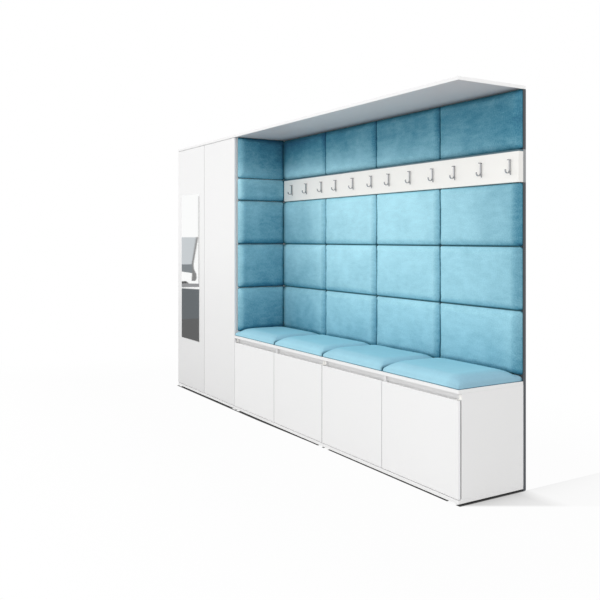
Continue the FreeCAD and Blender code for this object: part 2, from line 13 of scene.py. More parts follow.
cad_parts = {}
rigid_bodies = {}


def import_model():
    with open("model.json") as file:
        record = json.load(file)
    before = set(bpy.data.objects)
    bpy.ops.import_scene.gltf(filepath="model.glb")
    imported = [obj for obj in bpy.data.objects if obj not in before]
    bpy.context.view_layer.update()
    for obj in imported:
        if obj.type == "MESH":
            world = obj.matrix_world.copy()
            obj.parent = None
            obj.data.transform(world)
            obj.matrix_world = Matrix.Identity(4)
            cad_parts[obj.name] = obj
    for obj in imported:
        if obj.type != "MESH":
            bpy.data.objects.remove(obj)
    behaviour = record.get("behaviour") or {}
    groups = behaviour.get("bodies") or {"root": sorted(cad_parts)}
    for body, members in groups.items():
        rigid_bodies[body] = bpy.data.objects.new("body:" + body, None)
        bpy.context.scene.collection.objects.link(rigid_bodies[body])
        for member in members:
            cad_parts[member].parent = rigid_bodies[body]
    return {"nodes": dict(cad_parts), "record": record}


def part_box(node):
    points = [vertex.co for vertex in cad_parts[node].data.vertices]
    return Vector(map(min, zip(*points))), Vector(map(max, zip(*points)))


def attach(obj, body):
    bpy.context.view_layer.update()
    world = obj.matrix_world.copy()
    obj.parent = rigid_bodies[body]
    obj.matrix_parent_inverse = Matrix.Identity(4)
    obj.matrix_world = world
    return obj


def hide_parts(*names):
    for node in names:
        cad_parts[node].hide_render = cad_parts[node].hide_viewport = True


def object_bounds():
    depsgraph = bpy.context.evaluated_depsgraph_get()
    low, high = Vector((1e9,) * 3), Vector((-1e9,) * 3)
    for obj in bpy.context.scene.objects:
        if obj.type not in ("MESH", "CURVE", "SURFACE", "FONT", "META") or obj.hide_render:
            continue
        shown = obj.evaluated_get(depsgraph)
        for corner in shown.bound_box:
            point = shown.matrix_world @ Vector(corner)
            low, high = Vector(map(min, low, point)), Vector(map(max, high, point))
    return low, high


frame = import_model()
nodes = frame["nodes"]
bpy.ops.object.select_all(action="DESELECT")
cad_box = [list(corner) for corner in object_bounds()]
print("frame:", len(nodes), "pieces, box", cad_box)

# %% [markdown]
# The camera comes first, because every finish is judged through it. The picture was taken level,
# with the lens shifted down a little, from the right of the set and about 1.24 m above the floor.
# The lens and the place were worked out from the set's own right angles.

# %% Camera
PICTURE = 600
FOCAL_PIXELS = 761.8
HORIZON_ROW = 238.9
SENSOR = 36.0
CAMERA_PLACE = Vector((4.3555, -2.6770, 1.2428))
CAMERA_TURN = math.radians(58.87)

camera_data = bpy.data.cameras.new("camera")
camera_data.sensor_width = SENSOR
camera_data.lens = SENSOR * FOCAL_PIXELS / PICTURE
camera_data.shift_y = (HORIZON_ROW - PICTURE / 2) / PICTURE
camera_data.clip_end = 60.0
camera = bpy.data.objects.new("camera", camera_data)
camera.location = CAMERA_PLACE
camera.rotation_euler = (math.pi / 2, 0.0, CAMERA_TURN)
bpy.context.scene.collection.objects.link(camera)
bpy.context.scene.camera = camera
print("camera: lens %.2f mm, shift %.4f" % (camera_data.lens, camera_data.shift_y))

# %% [markdown]
# Shader maths reads best as plain expressions. A Wire wraps one socket and lets Python's own
# operators add the Math nodes, and a Finish wraps a material with its Principled shader.

# %% Shader helpers
class Wire:
    """One output socket, with arithmetic."""

    def __init__(self, finish, socket):
        self.finish = finish
        self.socket = socket

    def math(self, operation, *others):
        """Combine with one or two more values."""
        return self.finish.node("ShaderNodeMath", {"operation": operation}, [self, *others])

    def __add__(self, other):
        return self.math("ADD", other)

    def __radd__(self, other):
        return self.math("ADD", other)

    def __sub__(self, other):
        return self.math("SUBTRACT", other)

    def __rsub__(self, other):
        return self.finish.node("ShaderNodeMath", {"operation": "SUBTRACT"}, [other, self])

    def __mul__(self, other):
        return self.math("MULTIPLY", other)

    def __rmul__(self, other):
        return self.math("MULTIPLY", other)

    def __truediv__(self, other):
        return self.math("DIVIDE", other)

    def __pow__(self, other):
        return self.math("POWER", other)

    def clamp(self):
        """Hold the value between 0 and 1."""
        return self.finish.node("ShaderNodeClamp", {}, [self, 0.0, 1.0])


class Finish:
    """A procedural material round one Principled shader."""

    def __init__(self, name, **fixed):
        self.material = bpy.data.materials.new(name)
        self.material.use_nodes = True
        self.tree = self.material.node_tree
        self.shader = self.tree.nodes["Principled BSDF"]
        for socket, value in fixed.items():
            self.shader.inputs[socket.replace("_", " ")].default_value = value

    def node(self, kind, settings=None, inputs=(), output=0):
        """Add a node: its settings first, then the values or wires of its inputs, by place or name."""
        made = self.tree.nodes.new(kind)
        for key, value in (settings or {}).items():
            if key == "stops":
                self.set_stops(made.color_ramp, value)
            else:
                setattr(made, key, value)
        pairs = inputs.items() if isinstance(inputs, dict) else enumerate(inputs)
        for place, value in pairs:
            if isinstance(value, Wire):
                self.tree.links.new(value.socket, made.inputs[place])
            else:
                made.inputs[place].default_value = value
        return Wire(self, made.outputs[output])

    def set_stops(self, ramp, stops):
        """Give a colour ramp its stops, each a place and a colour."""
        while len(ramp.elements) < len(stops):
            ramp.elements.new(0.5)
        for element, (place, colour) in zip(ramp.elements, stops):
            element.position = place
            element.color = (*colour, 1.0)

    def place(self, scale=(1.0, 1.0, 1.0)):
        """Object coordinates in metres, stretched by scale."""
        coordinates = self.node("ShaderNodeTexCoord", output=3)
        return self.node("ShaderNodeMapping", {}, {"Vector": coordinates, "Scale": scale})

    def noise(self, vector, scale, detail=2.0, roughness=0.5):
        """Smooth noise from 0 to 1; scale is how many waves fit in a metre."""
        return self.node("ShaderNodeTexNoise", {},
                         {"Vector": vector, "Scale": scale, "Detail": detail, "Roughness": roughness})

    def axis(self, vector, number):
        """One part of a vector: 0, 1 or 2 for X, Y or Z."""
        return self.node("ShaderNodeSeparateXYZ", {}, [vector], output=number)

    def facing(self):
        """The direction in which the surface faces."""
        return self.node("ShaderNodeTexCoord", output=1)

    def attribute(self, name):
        """A number that is stored on the mesh's points."""
        return self.node("ShaderNodeAttribute", {"attribute_name": name}, output=2)

    def mix(self, factor, low, high):
        """Mix two colours, each a wire or three numbers."""
        made = self.tree.nodes.new("ShaderNodeMix")
        made.data_type = "RGBA"
        for place, value in ((0, factor), (6, low), (7, high)):
            if isinstance(value, Wire):
                self.tree.links.new(value.socket, made.inputs[place])
            else:
                made.inputs[place].default_value = value if place == 0 else (*value, 1.0)
        return Wire(self, made.outputs[2])

    def ramp(self, factor, *stops):
        """Colours along a factor from 0 to 1."""
        return self.node("ShaderNodeValToRGB", {"stops": stops}, [factor])

    def bump(self, height, strength, distance):
        """Fine relief, which only the shading shows."""
        self.feed("Normal", self.node("ShaderNodeBump", {}, {"Strength": strength, "Distance": distance,
                                                             "Height": height}))

    def feed(self, socket, wire):
        """Link a wire to a socket of the Principled shader."""
        self.tree.links.new(wire.socket, self.shader.inputs[socket])


print("shader helpers:", Wire.__name__, "and", Finish.__name__)

# %% [markdown]
# The boards are white melamine: nearly white, a soft satin gloss, and under a raking light a faint
# orange-peel texture. A hint of unevenness in the roughness keeps large doors from looking painted on.
# The doors' side edges get painted shade, a grey band which draws the fine line where two doors meet:
# a darker one where the gap is deep, between two cabinets, and a pale one at the free end, whose edge
# is painted lighter, with painted shade in its last millimetres towards the cabinet. The canopy's ends
# get painted light. Its underside is painted a little warmer, because only light from the teal cloth
# reaches it, and gets painted shade where it meets the pads. The hook rail has a narrow line of painted
# shade along its top, in the fold under the pads above it, and the tall doors get painted shade,
# slightly greyer towards the floor.

# %% Boards
PAD_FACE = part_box("back_pads_row_1")[0].y
RAIL_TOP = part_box("hook_rail")[1].z
LOW_SHADE_TOP = 1.2
DOOR_REAR_STRIP = -0.208
CONTACT_REACH = 0.10
CONTACT_SHADE_COLOUR = (0.0, 0.050, 0.085)
RAIL_SHADE_COLOUR = (0.055, 0.135, 0.175)


def mostly(direction):
    """1 where a direction's part is near 1, 0 where it is under 0.8."""
    return ((direction - 0.8) * 10.0).clamp()


def melamine(name, colour, roughness, side_edge_shading=None, underside=None, rear_edge_shade=None,
             low_shade=0.0, rail_shade_top=None):
    """A board's finish, with painted shading, lighter or darker, for edges that face along X, painted
    shade for the last 5 mm of such an edge towards the cabinet, or a painted colour for its underside,
    which gets painted shade near the pads. rail_shade_top is the height of a fold above it, under which
    the board gets a narrow line of painted shade."""
    finish = Finish(name, Specular_IOR_Level=0.42)
    place = finish.place()
    cloud = finish.noise(place, 2.2, 3.0)
    peel = finish.noise(place, 420.0, 2.0)
    darker = tuple(channel * 0.975 for channel in colour)
    face = finish.mix(cloud, darker, colour)
    # Painted shade, a little greyer towards the floor.
    if low_shade:
        shade = ((LOW_SHADE_TOP - finish.axis(place, 2)) / LOW_SHADE_TOP).clamp() * low_shade
        face = finish.mix(shade, face, (0.0, 0.0, 0.0))
    # A narrow line of painted shade along the board's top, under the pads above it.
    if rail_shade_top:
        rail_shade = ((finish.axis(place, 2) - rail_shade_top) / 0.003 + 3.5).clamp()
        face = finish.mix(rail_shade, face, RAIL_SHADE_COLOUR)
    # Painted shading on the side edges: darker in a deep gap, lighter at a free end, with painted shade
    # in the rear strip.
    if side_edge_shading:
        if rear_edge_shade:
            rear_shade = ((finish.axis(place, 1) - DOOR_REAR_STRIP) * 2000.0).clamp()
            side_edge_shading = finish.mix(rear_shade, side_edge_shading, rear_edge_shade)
        sideways = finish.axis(finish.facing(), 0).math("ABSOLUTE")
        face = finish.mix(mostly(sideways), face, side_edge_shading)
    # The underside's painted colour, which offsets the teal light from the cloth, with painted shade
    # near the pads.
    if underside:
        depth = (finish.axis(place, 1) - PAD_FACE + CONTACT_REACH) / CONTACT_REACH
        underside = finish.mix(depth.clamp() ** 2.2 * 0.54, underside, CONTACT_SHADE_COLOUR)
        downwards = finish.axis(finish.facing(), 2) * -1.0
        face = finish.mix(mostly(downwards), face, underside)
    finish.feed("Base Color", face)
    finish.feed("Roughness", roughness + (cloud - 0.5) * 0.08)
    finish.bump(peel, 0.12, 0.0002)
    return finish.material


WHITE = (0.875, 0.875, 0.875)
RAIL_WHITE = (0.940, 0.930, 0.898)
white_board = melamine("white_board", WHITE, 0.36)
rail_board = melamine("rail_board", RAIL_WHITE, 0.36, rail_shade_top=RAIL_TOP)
bracket_white = melamine("bracket_white", RAIL_WHITE, 0.36)
# The canopy's ends get painted light, and its underside a painted warmer colour.
canopy_board = melamine("canopy_board", WHITE, 0.36, side_edge_shading=(0.98, 0.98, 0.98),
                        underside=(0.850, 0.750, 0.735))
graphite_board = melamine("graphite_board", (0.075, 0.082, 0.092), 0.5)
carrier_board = melamine("carrier_board", (0.33, 0.34, 0.35), 0.45)
# Each door's painted shading on its side edges and rear strip, and the tall doors' painted shade
# towards the floor.
DOOR_EDGE_SHADE = {"wardrobe_door_left": 0.24, "wardrobe_door_right": 0.76, "bench_door_1": 0.55,
                  "bench_door_2": 0.14, "bench_door_3": 0.55, "bench_door_4": 0.93}
DOOR_REAR_SHADE = {"bench_door_4": 0.30}
DOOR_LOW_SHADE = {"wardrobe_door_left": 0.15, "wardrobe_door_right": 0.09}


def door_board(door):
    """A door's board: the painted shading of its side edges is its own."""
    edge_shade = DOOR_EDGE_SHADE[door]
    rear_shade = DOOR_REAR_SHADE.get(door, edge_shade)
    return melamine(door + "_board", WHITE, 0.34, side_edge_shading=(edge_shade, edge_shade, edge_shade * 1.02),
                    rear_edge_shade=(rear_shade, rear_shade, rear_shade * 1.02), low_shade=DOOR_LOW_SHADE.get(door, 0.0))


door_boards = {door: door_board(door) for door in DOOR_EDGE_SHADE}
print("materials after the boards:", len(bpy.data.materials))

# %% [markdown]
# The cloth is a short velvet. Its pile lies over in soft patches, so the colour drifts between a
# lighter and a deeper teal at the scale of a hand, with finer flecks on top. Velvet also glows at
# glancing angles, which is what the sheen is for, and has no plain reflection. Each piece carries
# two attributes: how near a point is to a seam, which paints shade into the seams' creases, and a
# tone, which is painted light and shade on a small random level: the rolls are painted lighter along
# some sides and darker along the others, as the light falls on them, and the wall gets painted shade
# towards its two ends.

# %% Velvet
CREASE_SHADE_COLOUR = (0.010, 0.064, 0.100)


def velvet(name, colours, sheen):
    """A cloth whose colour runs from dark to light over stops: places from 0 to 1 with colours."""
    finish = Finish(name, Sheen_Weight=sheen, Sheen_Roughness=0.4, Sheen_Tint=(0.25, 0.84, 0.96, 1.0),
                    Specular_IOR_Level=0.0)
    place = finish.place()
    brushed = finish.place((0.4, 0.4, 1.0))
    patches = finish.noise(place, 7.0, 3.0, 0.55)
    strokes = finish.noise(brushed, 40.0, 3.0, 0.6)
    flecks = finish.noise(place, 150.0, 2.0, 0.6)
    pile = finish.noise(place, 900.0, 2.0, 0.6)
    # The seam attribute gives painted shade in the seams' creases, mixed towards a dark teal.
    seam = finish.attribute("seam")
    crease_shade = ((seam - 0.26) * 1.7).clamp() * 0.94
    # The tone attribute is painted light and shade on a small random level.
    tone = finish.attribute("tone")
    shade = 0.5 + (patches - 0.5) * 0.36 + (strokes - 0.5) * 0.30 + (flecks - 0.5) * 0.40 + tone
    shade = ((shade - seam * 0.15 + 0.25).math("SMOOTH_MAX", 0.0, 0.3) / 1.33).clamp()
    finish.feed("Base Color", finish.mix(crease_shade, finish.ramp(shade, *colours), CREASE_SHADE_COLOUR))
    finish.feed("Roughness", 0.85 - shade * 0.12)
    finish.bump(pile * 0.7 + flecks * 0.3, 0.35, 0.0008)
    return finish.material


pad_velvet = velvet("pad_velvet", [(0.0, (0.023, 0.099, 0.190)), (0.19, (0.069, 0.240, 0.344)),
                                   (0.56, (0.268, 0.531, 0.642)), (1.0, (0.499, 0.866, 0.990))], 0.5)
# The seats' cloth is the pads' velvet again, with its own colours and less sheen: a copy painted for
# the light on the seats' tops.
seat_velvet = velvet("seat_velvet", [(0.0, (0.264, 0.454, 0.564)), (1.0, (0.396, 0.698, 0.818))], 0.3)
print("cloths:", pad_velvet.name, seat_velvet.name)

# %% [markdown]
# Metal and plastic. The hooks are brushed steel, whose fine lines run down the stem, so the noise
# is stretched along Z. The hidden fittings get plain plated steel, chrome and moulded plastic.

# %% Metal and plastic
def brushed_metal(name, colour, roughness, stretch):
    """A metal with fine lines, which stretch sets along one direction."""
    finish = Finish(name, Metallic=1.0)
    lines = finish.noise(finish.place(stretch), 900.0, 3.0, 0.65)
    darker = tuple(channel * 0.82 for channel in colour)
    finish.feed("Base Color", finish.mix(lines, darker, colour))
    finish.feed("Roughness", roughness + (lines - 0.5) * 0.18)
    finish.bump(lines, 0.15, 0.0001)
    return finish.material


def moulded(name, colour, roughness):
    """A plastic with a fine grain."""
    finish = Finish(name)
    place = finish.place()
    grain = finish.noise(place, 1300.0, 2.0)
    cloud = finish.noise(place, 30.0, 2.0)
    darker = tuple(channel * 0.93 for channel in colour)
    finish.feed("Base Color", finish.mix(cloud, darker, colour))
    finish.feed("Roughness", roughness + (grain - 0.5) * 0.1)
    finish.bump(grain, 0.2, 0.0002)
    return finish.material


hook_steel = brushed_metal("hook_steel", (0.42, 0.425, 0.44), 0.34, (1.0, 1.0, 0.06))
plated_steel = brushed_metal("plated_steel", (0.60, 0.60, 0.61), 0.3, (0.1, 1.0, 1.0))
rod_chrome = brushed_metal("rod_chrome", (0.82, 0.82, 0.83), 0.12, (0.04, 1.0, 1.0))
dark_magnet = brushed_metal("dark_magnet", (0.16, 0.16, 0.17), 0.4, (1.0, 1.0, 0.3))
white_plastic = moulded("white_plastic", (0.83, 0.83, 0.82), 0.45)
pale_plastic = moulded("pale_plastic", (0.70, 0.71, 0.72), 0.4)
small_finishes = (hook_steel, plated_steel, rod_chrome, dark_magnet, white_plastic, pale_plastic)
print("small parts' finishes:", [finish.name for finish in small_finishes])

# %% [markdown]
# The mirror is a sheet of glass with a silvered back. Seen as a whole it is one polished metal
# face, very slightly green, with hardly any haze.

# %% Mirror
def mirror_glass():
    """A polished metal face with a little haze."""
    finish = Finish("mirror_glass", Metallic=1.0)
    place = finish.place()
    haze = finish.noise(place, 3.0, 2.0)
    finish.feed("Base Color", finish.mix(haze, (0.955, 0.965, 0.960), (0.970, 0.975, 0.970)))
    finish.feed("Roughness", 0.02 + haze * 0.02)
    return finish.material


mirror = mirror_glass()
print("mirror:", mirror.name)

# %% [markdown]
# Now each rigid piece gets its finish, by the kind of its material or by its own name. Its shape
# and its place stay exactly as they came.

# %% Dress the frame
FINISHES = {
    "white_board": white_board,
    "dark_board": graphite_board,
    "pad_fabric": pad_velvet,
    "seat_fabric": seat_velvet,
    "mirror": mirror,
    "hook_metal": hook_steel,
    "steel": plated_steel,
    "chrome": rod_chrome,
    "white_plastic": white_plastic,
    "clear_plastic": pale_plastic,
    "magnet": dark_magnet,
}
BY_NODE = {"rail_carrier": carrier_board, "bench_pivot_brackets": bracket_white,
           "canopy": canopy_board, "hook_rail": rail_board, **door_boards}
for part in frame["record"]["subparts"]:
    piece = nodes[part["node"]]
    finish = FINISHES[part["material_slot"]]
    finish = BY_NODE.get(part["node"], finish)
    piece.data.materials.clear()
    piece.data.materials.append(finish)

# %% [markdown]
# The upholstery starts from a blank, as in a workshop: foam on a board, with the cloth drawn over
# it. A blank is one closed sheet of quads. Its face is a grid over lines across and along, rings
# run round the border and down to the board, and a flat grid closes it behind, so that there is no
# many-sided face anywhere, which would be slow to subdivide and would pucker.

# %% Blanks
def border_of(columns, rows):
    """The grid's border points, anticlockwise seen from above."""
    bottom = list(range(columns))
    right = [row * columns + columns - 1 for row in range(1, rows)]
    top = [(rows - 1) * columns + column for column in range(columns - 2, -1, -1)]
    left = [row * columns for row in range(rows - 2, 0, -1)]
    return bottom + right + top + left


def blank(name, xs, ys, height, rings):
    """A closed piece that lies on its back at Z = 0. height(x, y) shapes the face, and each ring is
    an outset from the face's border and a height; the last ring is the border of the back."""
    columns, rows = len(xs), len(ys)
    points = [(x, y, height(x, y)) for y in ys for x in xs]
    half_x, half_y = xs[-1], ys[-1]
    cells = [(row * columns + column, row * columns + column + 1)
             for row in range(rows - 1) for column in range(columns - 1)]
    faces = [(a, b, b + columns, a + columns) for a, b in cells]
    border = border_of(columns, rows)
    upper = border
    for outset, level in rings:
        first = len(points)
        points += [(points[k][0] * (1 + outset / half_x), points[k][1] * (1 + outset / half_y), level)
                   for k in border]
        lower = list(range(first, first + len(border)))
        for k in range(len(border)):
            after = (k + 1) % len(border)
            faces.append((lower[k], lower[after], upper[after], upper[k]))
        upper = lower
    last_outset = rings[-1][0]
    behind = dict(zip(border, upper))
    for row in range(1, rows - 1):
        for column in range(1, columns - 1):
            behind[row * columns + column] = len(points)
            points.append((xs[column] * (1 + last_outset / half_x),
                           ys[row] * (1 + last_outset / half_y), 0.0))
    faces += [(behind[a], behind[a + columns], behind[b + columns], behind[b]) for a, b in cells]
    mesh = bpy.data.meshes.new(name)
    mesh.from_pydata(points, [], faces)
    piece = bpy.data.objects.new(name, mesh)
    bpy.context.scene.collection.objects.link(piece)
    return piece


def even_lines(half, cell):
    """Lines from -half to half, evenly spaced at about one cell."""
    count = round(2 * half / cell)
    return [half * (2 * k / count - 1) for k in range(count + 1)]


print("a grid of 4 by 3 points has", len(border_of(4, 3)), "on its border")

# %% [markdown]
# Air pressure inside a simulated cloth does what stuffing does: it rounds the face and pulls the
# cloth tight over the edges. The points near the board are pinned, gravity is off, and no point may
# move further than a cap. Neighbours press on each other, so a point also stays inside its cell.

# %% Stuffing
CLOTH_FRAMES = 16
PRESSURE = 4.0


def stuff(piece, pin_height, cap, low, high, looseness):
    """Swell a closed piece by cloth pressure, within a cap and a box, and leave a plain mesh.
    What lies at or under pin_height stays."""
    start = [v.co.copy() for v in piece.data.vertices]
    pinned = piece.vertex_groups.new(name="pinned")
    pinned.add([v.index for v in piece.data.vertices if v.co.z <= pin_height], 1.0, "REPLACE")
    cloth = piece.modifiers.new("stuffing", "CLOTH")
    cloth.settings.quality = 5
    cloth.settings.mass = 0.3
    cloth.settings.tension_stiffness = 15.0
    cloth.settings.compression_stiffness = 15.0
    cloth.settings.bending_stiffness = 0.6
    cloth.settings.shrink_min = -looseness
    cloth.settings.use_pressure = True
    cloth.settings.uniform_pressure_force = PRESSURE
    cloth.settings.vertex_group_mass = pinned.name
    cloth.settings.effector_weights.gravity = 0.0
    cloth.point_cache.frame_start = 1
    cloth.point_cache.frame_end = CLOTH_FRAMES
    for number in range(1, CLOTH_FRAMES + 1):
        bpy.context.scene.frame_set(number)
    bpy.ops.object.select_all(action="DESELECT")
    piece.select_set(True)
    bpy.context.view_layer.objects.active = piece
    bpy.ops.object.modifier_apply(modifier=cloth.name)
    bpy.context.scene.frame_set(1)
    for vertex, origin in zip(piece.data.vertices, start):
        move = vertex.co - origin
        if move.length > cap:
            move *= cap / move.length
        place = origin + move
        vertex.co = [min(max(place[k], low[k]), high[k]) for k in range(3)]
    piece.vertex_groups.clear()


print("stuffing:", "%d frames of cloth" % CLOTH_FRAMES)

# %% [markdown]
# Before the stuffing, the blank gets the small unevenness of hand work: long waves in the foam, from
# a fixed seed, so that every run gives the same pad. After it, each point learns how deep in a seam
# it lies and how light it looks, and the piece is put in its place, smoothed and dressed.

# %% Unevenness, seams and tone
def hand_made(piece, seed, waves, wave_length):
    """Lift the points by smooth noise, more in the middle than at the back."""
    random.seed(seed)
    offset = Vector([random.uniform(0, 50) for _ in range(3)])
    top = max(v.co.z for v in piece.data.vertices)
    for vertex in piece.data.vertices:
        share = vertex.co.z / top
        vertex.co.z += share * waves * noise.noise(vertex.co / wave_length + offset)


def near_edge(distance, reach):
    """1 at an edge, falling to 0 at a distance, fast at first."""
    return max(0.0, 1.0 - distance / reach) ** 2


def on_roll(distance, reach):
    """1 at an edge, falling to 0 at a distance, slowly at first."""
    return max(0.0, 1.0 - (max(distance, 0.0) / reach) ** 2)


def mark_seam_and_tone(piece, sides, creases, rolls_light_and_shade, sunk, tone):
    """Store how deep in a seam each point is, for painted shade, and how light it looks, as painted
    light and shade. sides are the places of the left, right, low and high side, creases the reach of
    the seam's painted shade at some of them, rolls_light_and_shade how much painted light a side's roll
    gets, shade where it is negative, and how far in, and sunk the height under which it gets painted
    shade."""
    seam = piece.data.attributes.new("seam", "FLOAT", "POINT")
    shade = piece.data.attributes.new("tone", "FLOAT", "POINT")
    left, right, low, high = sides
    for vertex in piece.data.vertices:
        x, y, z = vertex.co
        distances = {"left": x - left, "right": right - x, "low": y - low, "high": high - y}
        # How deep in a seam and how near the board: painted shade.
        deepest = max(near_edge(distances[side], reach) for side, reach in creases.items())
        seam.data[vertex.index].value = max(deepest, near_edge(z, sunk))
        # Painted light and shade along the rolls, by how far a point is from each side.
        light_and_shade = sum(weight * on_roll(distances[side], reach) for side, (weight, reach) in rolls_light_and_shade.items())
        shade.data[vertex.index].value = tone(x, y) + light_and_shade


def stand(piece, centre, across, up, out):
    """Move a piece from its workbench to its place: X goes across, Y up, and Z out of the wall."""
    for vertex in piece.data.vertices:
        x, y, z = vertex.co
        vertex.co = centre + x * across + y * up + z * out
    piece.data.update()


def finish_cushion(piece, material, node):
    """Smooth, dress and seat a padded piece, and hide the solid it takes the place of."""
    bpy.ops.object.select_all(action="DESELECT")
    piece.select_set(True)
    bpy.context.view_layer.objects.active = piece
    smooth = piece.modifiers.new("smooth", "SUBSURF")
    smooth.levels = smooth.render_levels = 1
    bpy.ops.object.modifier_apply(modifier=smooth.name)
    bpy.ops.object.shade_smooth()
    piece.data.materials.append(material)
    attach(piece, "carcass")
    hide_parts(node)


print("at half its reach, a seam's depth is", near_edge(0.5, 1.0), "and a roll's is", on_roll(0.5, 1.0))

# %% [markdown]
# A wall pad is stuffed while it lies on its back, then stood against its board: the face, which
# was up, turns towards the room. Writing the turn as three axes keeps the piece's object unturned.
# The nap of velvet looks a little darker or lighter with the way it was cut and laid, so each pad has
# a small random tone, with painted light and shade on top of it.

# %% One wall pad
CELL = 0.0125
ROLL_STEPS = 4
ROLL = 0.018
PAD_THICKNESS = 0.031
PAD_CROWN = 0.0025
PAD_TAPER = 0.0022
PAD_RIM = PAD_THICKNESS - 0.004
PAD_SWELL = PAD_CROWN + 0.002
PAD_SQUARENESS = 6
PAD_WAVES, PAD_WAVE_LENGTH = 0.0016, 0.16
PAD_PINNED, PAD_CAP, PAD_LOOSENESS = 0.010, 0.005, 0.004
PAD_SUNK = 0.012
WALL_MIDDLE = 0.54
WALL_HALF = 1.17
SIDE_PAD_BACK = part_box("wardrobe_right_side")[1].x
BACK_PAD_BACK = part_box("rail_carrier")[0].y
BACK_PAD_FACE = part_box("back_pads_row_3")[0].y


def pad_rings(thickness):
    """A quarter turn over the edge, then straight down to the board."""
    turns = [math.pi / 2 * k / ROLL_STEPS for k in range(1, ROLL_STEPS + 1)]
    rings = [(ROLL * math.sin(turn), thickness - ROLL * (1 - math.cos(turn))) for turn in turns]
    return rings + [(ROLL, (thickness - ROLL) / 2), (ROLL - PAD_TAPER, 0.0)]


def wall_pad(name, node, width, height, centre, across, out, seed, look, dark_from=None):
    """One pad, which fills a width and a height. look holds what its marks need, and dark_from is
    where its right side goes behind a neighbour, measured from its middle."""
    half_width, half_height = width / 2, height / 2

    def face_height(x, y):
        crown_x = 1 - (x / half_width) ** PAD_SQUARENESS
        crown_y = 1 - (y / half_height) ** PAD_SQUARENESS
        return PAD_RIM + PAD_SWELL * crown_x * crown_y

    piece = blank(name, even_lines(half_width - ROLL, CELL), even_lines(half_height - ROLL, CELL),
                  face_height, pad_rings(PAD_RIM))
    hand_made(piece, seed, PAD_WAVES, PAD_WAVE_LENGTH)
    low = (-half_width, -half_height, 0.0)
    high = (half_width, half_height, PAD_THICKNESS + PAD_CROWN)
    stuff(piece, PAD_PINNED, PAD_CAP, low, high, PAD_LOOSENESS)
    random.seed(seed)
    # The pad's painted level of light and shade, with a small random tone.
    level = look["nap"] + random.uniform(-0.05, 0.05)
    middle = (centre.dot(across) - WALL_MIDDLE) / WALL_HALF

    def tone(x, y):
        """The pad's level, with painted shade towards the wall's ends, and its painted slopes of light
        and shade across and up.
        """
        place = middle + x / WALL_HALF
        rise = look["rise"] + look["rise_tilt"] * place
        middle_shade = look["middle_shade"] * (1 - (x / half_width) ** 2)
        return (level - look["dim"] * place ** 2 - middle_shade + look["slope"] * x / half_width
                + rise * y / half_height + look["bow"] * ((y / half_height) ** 2 - 1 / 3))

    right = half_width if dark_from is None else dark_from
    mark_seam_and_tone(piece, (-half_width, right, -half_height, half_height),
                       look["creases"], look["rolls_light_and_shade"], PAD_SUNK, tone)
    stand(piece, centre, across, Vector((0, 0, 1)), out)
    finish_cushion(piece, pad_velvet, node)
    return piece


print("a pad rises to %.4f m over its board" % (PAD_RIM + PAD_SWELL))

# %% [markdown]
# The numbers that follow are the painted light and shade of the pads, row by row from the top. Row 2
# is the narrow one, which only the side has, as the hook rail takes its place at the back. nap
# is a pad's level, dim the painted shade it gets towards the wall's ends, rise and slope its painted
# change up and across, bow how much lighter its top and bottom are painted than its middle, and
# middle_shade how much painted shade darkens its middle. creases are how far each seam's painted shade
# reaches, and rolls_light_and_shade how much painted light each side's roll gets, shade where it is
# negative, and how far in. The canopy's painted shade darkens the top row, and the corner's the first
# column.

# %% Light and dark of the pads
# Painted light and shade of the pads, row by row.
SIDE_SHADE_LEVEL = {1: -0.40, 2: -0.10, 3: -0.22, 4: -0.22, 5: -0.36}
SIDE_RISE = {1: -0.23, 2: 0.06, 3: 0.12, 4: 0.11, 5: 0.20}
SIDE_BOW = {1: 0.12, 2: 0.20}
SIDE_SLOPE = {1: -0.14, 2: -0.08, 3: -0.06, 4: -0.05, 5: -0.04}
SIDE_LEFT_ROLL_LIGHT = {1: 0.18, 2: 0.34, 3: 0.36, 4: 0.28, 5: 0.20}
SIDE_LEFT_REACH = 0.048
SIDE_CREASES = {"right": 0.014, "low": 0.022, "high": 0.005}
SIDE_CORNER_CREASE = 0.036
SIDE_ROLL_SHADING = {"high": (0.08, 0.022), "low": (-0.22, 0.042), "right": (-0.14, 0.022)}
BACK_SHADE_LEVEL = {1: -0.255, 3: 0.46, 4: 0.31, 5: 0.055}
BACK_DIM = {1: 0.14, 3: 0.60, 4: 0.33, 5: 0.11}
BACK_RISE = {1: -0.31, 3: 0.10, 4: 0.16, 5: 0.19}
BACK_RISE_TILT = {1: 0.30, 3: -0.10, 4: -0.14, 5: 0.0}
BACK_BOW = {1: 0.17}
BACK_CREASES = {"right": 0.014, "low": 0.019, "high": 0.005, "left": 0.004}
BACK_ROLL_SHADING = {"left": (0.03, 0.020), "high": (0.05, 0.022), "low": (-0.16, 0.030),
              "right": (-0.30, 0.043)}
CORNER_SHADE = {1: 0.0, 3: 0.16, 4: 0.17, 5: 0.24}
CORNER_ROLL_SHADING = {1: (-0.03, 0.300), 3: (0.20, 0.300), 4: (0.14, 0.300), 5: (0.06, 0.300)}
CORNER_CREASE = 0.130
FREE_END_ROLL_SHADE = {1: (-0.05, 0.030), 3: (-0.28, 0.055), 4: (-0.28, 0.055), 5: (-0.28, 0.055)}
UNDER_CANOPY_CREASES = {"high": 0.030, "low": 0.008}
UNDER_CANOPY_ROLL_SHADING = {"high": (-0.18, 0.030), "low": (-0.16, 0.024), "right": (-0.16, 0.036)}
EVEN_LOOK = {"dim": 0.0, "rise_tilt": 0.0, "middle_shade": 0.0, "bow": 0.0, "slope": 0.0}


